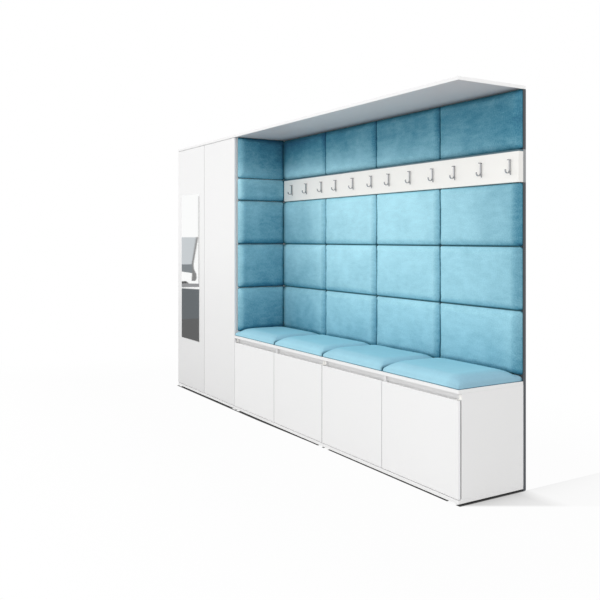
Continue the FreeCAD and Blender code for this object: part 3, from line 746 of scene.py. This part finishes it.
def pad_look(row, creases, rolls_light_and_shade, **levels):
    """What a pad's marks need, with the canopy's shade on the top row."""
    look = dict(EVEN_LOOK, creases=dict(creases), rolls_light_and_shade=dict(rolls_light_and_shade), **levels)
    if row == 1:
        look["creases"].update(UNDER_CANOPY_CREASES)
        look["rolls_light_and_shade"].update(UNDER_CANOPY_ROLL_SHADING)
    return look


print("levels on the side:", SIDE_SHADE_LEVEL, "and at the back:", BACK_SHADE_LEVEL)

# %% [markdown]
# The side pads stand on the wardrobe's side. Four of them end at the face of the back pads, a few
# millimetres inside it, so that the rolls meet without a hole. The narrow one runs on behind the
# hook rail.

# %% Side pads
INTO_BACK_PADS = 0.010
for row in range(1, 6):
    node = "side_pad_%d" % row
    low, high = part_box(node)
    behind_rail = row == 2
    far = high.y if behind_rail else BACK_PAD_BACK - (PAD_THICKNESS - INTO_BACK_PADS)
    centre = Vector((SIDE_PAD_BACK, (low.y + far) / 2, (low.z + high.z) / 2))
    look = pad_look(row, SIDE_CREASES, SIDE_ROLL_SHADING, nap=SIDE_SHADE_LEVEL[row], rise=SIDE_RISE[row],
                    slope=SIDE_SLOPE[row])
    look["bow"] = SIDE_BOW.get(row, 0.0)
    if not behind_rail:
        look["creases"]["right"] = SIDE_CORNER_CREASE
    look["rolls_light_and_shade"]["left"] = (SIDE_LEFT_ROLL_LIGHT[row], SIDE_LEFT_REACH)
    wall_pad("side_velvet_%d" % row, node, far - low.y, high.z - low.z, centre, Vector((0, 1, 0)),
             Vector((1, 0, 0)), 10 + row, look, BACK_PAD_FACE - centre.y if behind_rail else None)
print("side pads made, in 5 rows, the lowest from z %.3f" % low.z)

# %% [markdown]
# The back pads fill four columns, as wide as the bench's bays. The first runs on into the corner.
# Two upright seams stand a few millimetres to the left of the bays' lines, as they do in the
# picture. Each row of four takes the place of one solid.

# %% Back pads
PAD_TOUCH = 0.0004
SEAM_DRIFT = ((3, 0.0), (2, 0.006), (1, 0.004), (0, 0.0))
BAY_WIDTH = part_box("bench_door_4")[1].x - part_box("bench_door_3")[1].x
BENCH_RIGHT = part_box("bench_top")[1].x
column_edges = [SIDE_PAD_BACK] + [BENCH_RIGHT - BAY_WIDTH * bays - drift for bays, drift in SEAM_DRIFT]
for row in BACK_SHADE_LEVEL:
    node = "back_pads_row_%d" % row
    low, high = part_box(node)
    for column in range(4):
        left, right = column_edges[column], column_edges[column + 1]
        centre = Vector(((left + right) / 2, BACK_PAD_BACK, (low.z + high.z) / 2))
        look = pad_look(row, BACK_CREASES, BACK_ROLL_SHADING, nap=BACK_SHADE_LEVEL[row], rise=BACK_RISE[row])
        look.update(dim=BACK_DIM[row], rise_tilt=BACK_RISE_TILT[row], bow=BACK_BOW.get(row, 0.0))
        if column == 0:
            look["middle_shade"] = CORNER_SHADE[row]
            look["creases"]["left"] = CORNER_CREASE
            look["rolls_light_and_shade"]["left"] = CORNER_ROLL_SHADING[row]
        if column == 3:
            del look["creases"]["right"]
            look["rolls_light_and_shade"]["right"] = FREE_END_ROLL_SHADE[row]
        wall_pad("back_velvet_%d_%d" % (row, column + 1), node, right - left - 2 * PAD_TOUCH,
                 high.z - low.z, centre, Vector((1, 0, 0)), Vector((0, -1, 0)),
                 100 + 10 * row + column, look)
print("pads made:", sum(1 for o in bpy.data.objects if "velvet_" in o.name))

# %% [markdown]
# A seat cushion is crowned: its height follows a full, rounded curve in from each edge, and the
# two directions are multiplied, so the corners stay low and the middle is nearly flat. Where an
# edge tucks in under the wall pads, the profile waits at a low height until it is clear of them.
# The sides draw in a little between the corners, as the seam pulls the cloth.

# %% A cushion's profile
SEAT_RIM = 0.0155
SEAT_RISE = 0.0395
SEAT_REACH = 0.120
SEAT_FULLNESS = 2.5
SEAT_TUCK_HEIGHT = 0.0302
SEAT_TUCK_WIDTH = 0.0350
SEAT_EDGE_STEPS = 9
SEAT_CELL = 0.0160
SEAT_DRAW_IN = 0.0030


def tuck_start():
    """How far in the profile reaches the height at which it waits."""
    share = (SEAT_TUCK_HEIGHT - SEAT_RIM) / SEAT_RISE
    return SEAT_REACH * (1 - (1 - share ** SEAT_FULLNESS) ** (1 / SEAT_FULLNESS))


def profile(distance, tucked, reach=SEAT_REACH):
    """How far the foam has risen at a distance from its edge: 0 at the edge, 1 at the middle. Where
    it is tucked in, it waits at one height until it is clear of the pads."""
    if tucked and distance > tuck_start():
        distance = max(tuck_start(), distance - SEAT_TUCK_WIDTH + tuck_start())
    along = min(distance / reach, 1.0)
    return (1 - (1 - along) ** SEAT_FULLNESS) ** (1 / SEAT_FULLNESS)


def edge_distances(tucked):
    """Distances from an edge, close together where the profile is steep."""
    turns = [math.pi / 2 * k / SEAT_EDGE_STEPS for k in range(SEAT_EDGE_STEPS + 1)]
    plain = [SEAT_REACH * (1 - math.cos(turn)) for turn in turns]
    if not tucked:
        return plain
    start = tuck_start()
    shift = SEAT_TUCK_WIDTH - start
    flat = [start + shift * k / 3 for k in range(4)]
    before = [d for d in plain if d < start - 0.001]
    after = [d + shift for d in plain if d > start + 0.001]
    return before + flat + after


def seat_lines(half, low_tucked, high_tucked):
    """Lines across a cushion: fine at both edges, even between them."""
    low = [-half + d for d in edge_distances(low_tucked)]
    high = [half - d for d in reversed(edge_distances(high_tucked))]
    count = round((high[0] - low[-1]) / SEAT_CELL)
    between = [low[-1] + (high[0] - low[-1]) * k / count for k in range(1, count)]
    return low + between + high


def draw_sides_in(piece, half_x, half_y):
    """Pull each side in between its corners, most at mid side, fading out towards the middle."""
    for vertex in piece.data.vertices:
        x, y = vertex.co.x / half_x, vertex.co.y / half_y
        vertex.co.x -= SEAT_DRAW_IN * x ** 9 * max(0.0, 1 - y * y)
        vertex.co.y -= SEAT_DRAW_IN * y ** 9 * max(0.0, 1 - x * x)


print("a cushion waits at %.4f m, from %.4f m in" % (SEAT_TUCK_HEIGHT, tuck_start()))

# %% [markdown]
# The four cushions touch each other. Near the wall their corners fill up, where each is pressed
# against its neighbour. The front roll gets painted light, the back and the right one painted
# shade, most on the free end, and the folds between the cushions get painted shade.

# %% Seat cushions
SEAT_TAPER = 0.0020
SEAT_GAP = 0.0006
SEAT_CORNER = 0.160
SEAT_CORNER_REACH = 0.030
SEAT_WAVES, SEAT_WAVE_LENGTH = 0.0030, 0.21
SEAT_PINNED, SEAT_CAP = 0.004, 0.006
SEAT_ROOF = SEAT_RIM + SEAT_RISE + 0.004
SEAT_SUNK = 0.010
SEAT_TONE = {1: -0.08, 2: 0.10, 3: -0.01, 4: -0.05}


def seat_cushion(number):
    """One cushion, which fills a bay of the bench; the first runs on under the side pads."""
    node = "seat_cushion_%d" % number
    low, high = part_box(node)
    right = BENCH_RIGHT - BAY_WIDTH * (4 - number)
    left = right - BAY_WIDTH if number > 1 else SIDE_PAD_BACK
    left, right = left + SEAT_GAP, right - SEAT_GAP
    half_x, half_y = (right - left) / 2, (high.y - low.y) / 2
    tucked_left = number == 1

    def height(x, y):
        full = near_edge(half_y - y, SEAT_CORNER)

        def end(distance):
            pressed = profile(distance, False, SEAT_CORNER_REACH)
            return profile(distance, False) * (1 - full) + pressed * full

        across = min(profile(x + half_x, True) if tucked_left else end(x + half_x), end(half_x - x))
        along = min(profile(y + half_y, False), profile(half_y - y, True))
        return SEAT_RIM + SEAT_RISE * across * along

    rings = [(0.0, SEAT_RIM * 0.66), (-0.0006, SEAT_RIM * 0.33), (-SEAT_TAPER, 0.0)]
    piece = blank("seat_velvet_%d" % number, seat_lines(half_x, tucked_left, False),
                  seat_lines(half_y, False, True), height, rings)
    hand_made(piece, 200 + number, SEAT_WAVES, SEAT_WAVE_LENGTH)
    draw_sides_in(piece, half_x, half_y)
    stuff(piece, SEAT_PINNED, SEAT_CAP, (-half_x, -half_y, 0.0), (half_x, half_y, SEAT_ROOF), 0.0)
    for vertex in piece.data.vertices:
        under_back = half_y - vertex.co.y < SEAT_TUCK_WIDTH
        under_side = tucked_left and vertex.co.x + half_x < SEAT_TUCK_WIDTH
        if under_back or under_side:
            vertex.co.z = min(vertex.co.z, SEAT_TUCK_HEIGHT)
    # Painted shade in the folds and along the back and the right roll, painted light along the front
    # roll.
    creases = {"high": 0.030, "left": 0.005}
    rolls_light_and_shade = {"high": (-0.25, 0.060), "low": (0.24, 0.034), "right": (-0.60, 0.100)}
    if number < 4:
        creases["right"] = 0.045
        rolls_light_and_shade["right"] = (-0.35, 0.050)
    mark_seam_and_tone(piece, (-half_x, half_x, -half_y, half_y), creases, rolls_light_and_shade, SEAT_SUNK,
                       lambda x, y: SEAT_TONE[number])
    centre = Vector(((left + right) / 2, (low.y + high.y) / 2, low.z))
    stand(piece, centre, Vector((1, 0, 0)), Vector((0, 1, 0)), Vector((0, 0, 1)))
    finish_cushion(piece, seat_velvet, node)
    return piece


for number in range(1, 5):
    cushion = seat_cushion(number)
print("seat cushions made, the last with", len(cushion.data.polygons), "faces")

# %% [markdown]
# The studio is plain: a pale floor, an even world and two soft lamps. The floor looks white to the
# camera and in the mirror, while the light it gives the set stays at a plain level. Under the
# cabinets it is painted a dim colour, a painted shade which draws the dark line that the feet
# interrupt, and to the right of the set it keeps some of it, as a faint shadow, partly the real
# shadow on the paper and partly painted.

# %% Floor
def light_path(tree):
    """1 for rays that should see the plain white background: camera, glossy and transmission."""
    path = tree.nodes.new("ShaderNodeLightPath")
    total = path.outputs["Is Camera Ray"]
    for name in ("Is Glossy Ray", "Is Transmission Ray"):
        either = tree.nodes.new("ShaderNodeMath")
        either.operation = "MAXIMUM"
        tree.links.new(total, either.inputs[0])
        tree.links.new(path.outputs[name], either.inputs[1])
        total = either.outputs[0]
    return total


# Each foot that shows in the dark line: its place along X, and from where to where it is white.
# The line itself starts a few millimetres in from the set's outline, more along the right half.
# The paper's colour, and its painted shade under the cabinets.
PAPER, PAPER_SHADE_UNDERNEATH = (0.47, 0.465, 0.46), (0.12, 0.12, 0.12)
LINE_START = 0.004
LINE_SLOPE, LINE_SLOPE_FROM, LINE_MOST = 0.02, -0.3, 0.014
FEET_FRONT, FEET_DEPTH = 0.006, 0.040
SHADOW_SPREAD = 1.65
SHADOW_FADING = 8.3
SHADOW_STRENGTH = 0.75
FEET = ((-1.710, 0.008, 0.055), (-0.630, 0.008, 0.055), (0.540, 0.008, 0.055), (1.710, 0.022, 0.085))


def white_share(finish, low, high):
    """How white each point looks, and whether it is outside the set's box: white but not under the
    cabinets, where painted shade shows, save at their feet, and less at the right, on the side away
    from the lamp, as a painted shadow."""
    place = finish.node("ShaderNodeTexCoord", output=3)
    x, y = finish.axis(place, 0), finish.axis(place, 1)
    middle_x, middle_y = (low[0] + high[0]) / 2, (low[1] + high[1]) / 2
    outside_x = (x - middle_x).math("ABSOLUTE") - (high[0] - low[0]) / 2
    outside_y = (y - middle_y).math("ABSOLUTE") - (high[1] - low[1]) / 2
    drawn_in = ((x - LINE_SLOPE_FROM) * LINE_SLOPE).math("MAXIMUM", 0.0).math("MINIMUM", LINE_MOST)
    distance = outside_x.math("MAXIMUM", outside_y + drawn_in) - LINE_START
    outside = (distance * 400.0).clamp()
    feet = 0.0
    for foot, near, wide in FEET:
        beside = (x - foot).math("ABSOLUTE")
        feet = ((wide - beside) * 300.0).clamp() * ((beside - near) * 300.0).clamp() + feet
    at_front = (((low[1] + FEET_DEPTH - y) * 300.0).clamp()
                * ((y - low[1] - FEET_FRONT) * 300.0).clamp())
    lit = outside.math("MAXIMUM", feet * at_front)
    # A painted shadow to the right of the set, fading away from it.
    beyond = (x - high[0]).math("MAXIMUM", 0.0)
    behind_front = ((y - low[1] - beyond * SHADOW_SPREAD) * 18.0 + 0.1).clamp()
    before_back = ((high[1] - y) * 8.0 + 0.4).clamp()
    past_back = ((high[1] - y) * 0.20 + 0.24).clamp()
    fading = (beyond * SHADOW_FADING + 1.0) ** -1.0
    shade = behind_front * before_back.math("MAXIMUM", past_back) * fading
    shade = shade * (beyond * 1000.0).clamp() * SHADOW_STRENGTH
    far = ((distance - 0.6) * 0.8).clamp()
    return lit * (far * 0.03 + 0.97 - shade), outside


def pale_floor(low, high):
    """Diffuse paper, mixed with white where the camera looks. low and high are the set's box."""
    finish = Finish("floor")
    tree = finish.tree
    tree.nodes.clear()
    output = tree.nodes.new("ShaderNodeOutputMaterial")
    paper = tree.nodes.new("ShaderNodeBsdfDiffuse")
    glow = tree.nodes.new("ShaderNodeEmission")
    glow.inputs["Color"].default_value = (1.0, 1.0, 1.0, 1.0)
    share, outside = white_share(finish, low, high)
    paper_colour = finish.mix(outside, PAPER_SHADE_UNDERNEATH, PAPER)
    tree.links.new(paper_colour.socket, paper.inputs["Color"])
    both = tree.nodes.new("ShaderNodeMixShader")
    tree.links.new((Wire(finish, light_path(tree)) * share).socket, both.inputs[0])
    tree.links.new(paper.outputs[0], both.inputs[1])
    tree.links.new(glow.outputs[0], both.inputs[2])
    tree.links.new(both.outputs[0], output.inputs["Surface"])
    return finish.material


bpy.ops.object.select_all(action="DESELECT")
bpy.ops.mesh.primitive_plane_add(size=60.0, location=(0, 0, 0))
floor = bpy.context.object
floor.name = "floor"
floor.data.materials.append(pale_floor(*cad_box))
print("floor made, with", len(FEET), "feet left white")

# %% [markdown]
# The world gives most of the light, evenly from all sides, so no side of a board goes dark. To the
# camera and in the mirror it is white.

# %% World
EVEN_STRENGTH = 1.085
world = bpy.data.worlds.new("studio")
bpy.context.scene.world = world
world.use_nodes = True
tree = world.node_tree
tree.nodes.clear()
surface = tree.nodes.new("ShaderNodeOutputWorld")
even = tree.nodes.new("ShaderNodeBackground")
even.inputs["Color"].default_value = (1.0, 1.0, 1.0, 1.0)
even.inputs["Strength"].default_value = EVEN_STRENGTH
white = tree.nodes.new("ShaderNodeBackground")
white.inputs["Color"].default_value = (1.0, 1.0, 1.0, 1.0)
white.inputs["Strength"].default_value = 1.0
both = tree.nodes.new("ShaderNodeMixShader")
tree.links.new(light_path(tree), both.inputs[0])
tree.links.new(even.outputs[0], both.inputs[1])
tree.links.new(white.outputs[0], both.inputs[2])
tree.links.new(both.outputs[0], surface.inputs["Surface"])
print("world: strength %.3f" % EVEN_STRENGTH)

# %% [markdown]
# Two large square lamps shape what the world leaves flat. The one at the upper left separates the
# fronts from the end panel and throws a shadow to the right, which the floor's painted shadow
# deepens, and the low one in front brings light into the padded recess under the canopy.

# %% Lamps
def soft_lamp(name, place, target, size, power):
    """A square area lamp that looks at a target."""
    data = bpy.data.lights.new(name, "AREA")
    data.shape = "SQUARE"
    data.size = size
    data.energy = power
    lamp = bpy.data.objects.new(name, data)
    lamp.location = place
    lamp.rotation_euler = (Vector(target) - Vector(place)).to_track_quat("-Z", "Y").to_euler()
    bpy.context.scene.collection.objects.link(lamp)
    return lamp


soft_lamp("key", (-1.6, -2.4, 1.9), (0.3, 0.0, 1.0), 2.4, 12.5)
soft_lamp("fill", (2.6, -3.2, 0.9), (0.3, 0.0, 1.0), 2.4, 30.0)

# %% [markdown]
# What the mirror shows is part of the picture: a plain white room with a low dark block and a pale
# panel leaning above it. Flat cards stand where the mirror looks. Only reflections see them.

# %% Cards for the mirror
CARD_PLANE = -4.0
CARD_LEFT, CARD_RIGHT = -1.200, -1.423


def card(name, tint, corners):
    """A flat card at X = CARD_PLANE. Each corner is a share across the mirror and a height."""
    points = [(CARD_PLANE, CARD_LEFT + (CARD_RIGHT - CARD_LEFT) * across, z) for across, z in corners]
    mesh = bpy.data.meshes.new(name)
    mesh.from_pydata(points, [], [tuple(range(len(points)))])
    piece = bpy.data.objects.new(name, mesh)
    bpy.context.scene.collection.objects.link(piece)
    colour = bpy.data.materials.new(name)
    colour.use_nodes = True
    nodes_of = colour.node_tree.nodes
    shader = nodes_of["Principled BSDF"]
    shader.inputs["Base Color"].default_value = (0.0, 0.0, 0.0, 1.0)
    shader.inputs["Specular IOR Level"].default_value = 0.0
    shader.inputs["Emission Color"].default_value = (*tint, 1.0)
    shader.inputs["Emission Strength"].default_value = 1.0
    piece.data.materials.append(colour)
    piece.visible_camera = piece.visible_diffuse = piece.visible_shadow = False
    return piece


card("card_block_top", (0.145, 0.158, 0.168), [(-0.15, 0.30), (1.10, 0.30), (1.10, 0.643),
                                               (-0.15, 0.669)])
card("card_block", (0.130, 0.130, 0.131), [(-0.15, 0.0), (1.10, 0.0), (1.10, 0.30), (-0.15, 0.30)])
card("card_stripe", (0.31, 0.31, 0.32), [(-0.15, 0.676), (1.10, 0.672), (1.10, 0.711), (-0.15, 0.723)])
card("card_sliver", (0.09, 0.09, 0.09), [(-0.15, 0.722), (0.42, 0.719), (0.25, 0.747), (-0.15, 0.747)])
card("card_panel", (0.60, 0.63, 0.655), [(-0.15, 0.944), (0.56, 0.944), (0.84, 1.262), (-0.15, 1.262)])
card("card_shelf", (0.235, 0.255, 0.27), [(-0.15, 0.865), (0.60, 0.839), (0.60, 0.944), (-0.15, 0.944)])
card("card_leg", (0.235, 0.235, 0.235), [(0.56, 0.747), (0.79, 0.747), (0.85, 0.782), (0.83, 0.829),
                                         (0.71, 0.876), (0.67, 0.924), (0.69, 0.971), (0.935, 1.262),
                                         (0.79, 1.262), (0.56, 0.944), (0.59, 0.829)])
card("card_edge", (0.45, 0.45, 0.45), [(0.955, 0.70), (1.01, 0.70), (1.01, 1.75), (0.955, 1.75)])

# %% [markdown]
# The view transform is Standard, so a colour shows as it is written.

# %% Finish
bpy.context.scene.view_settings.view_transform = "Standard"
bpy.context.view_layer.update()
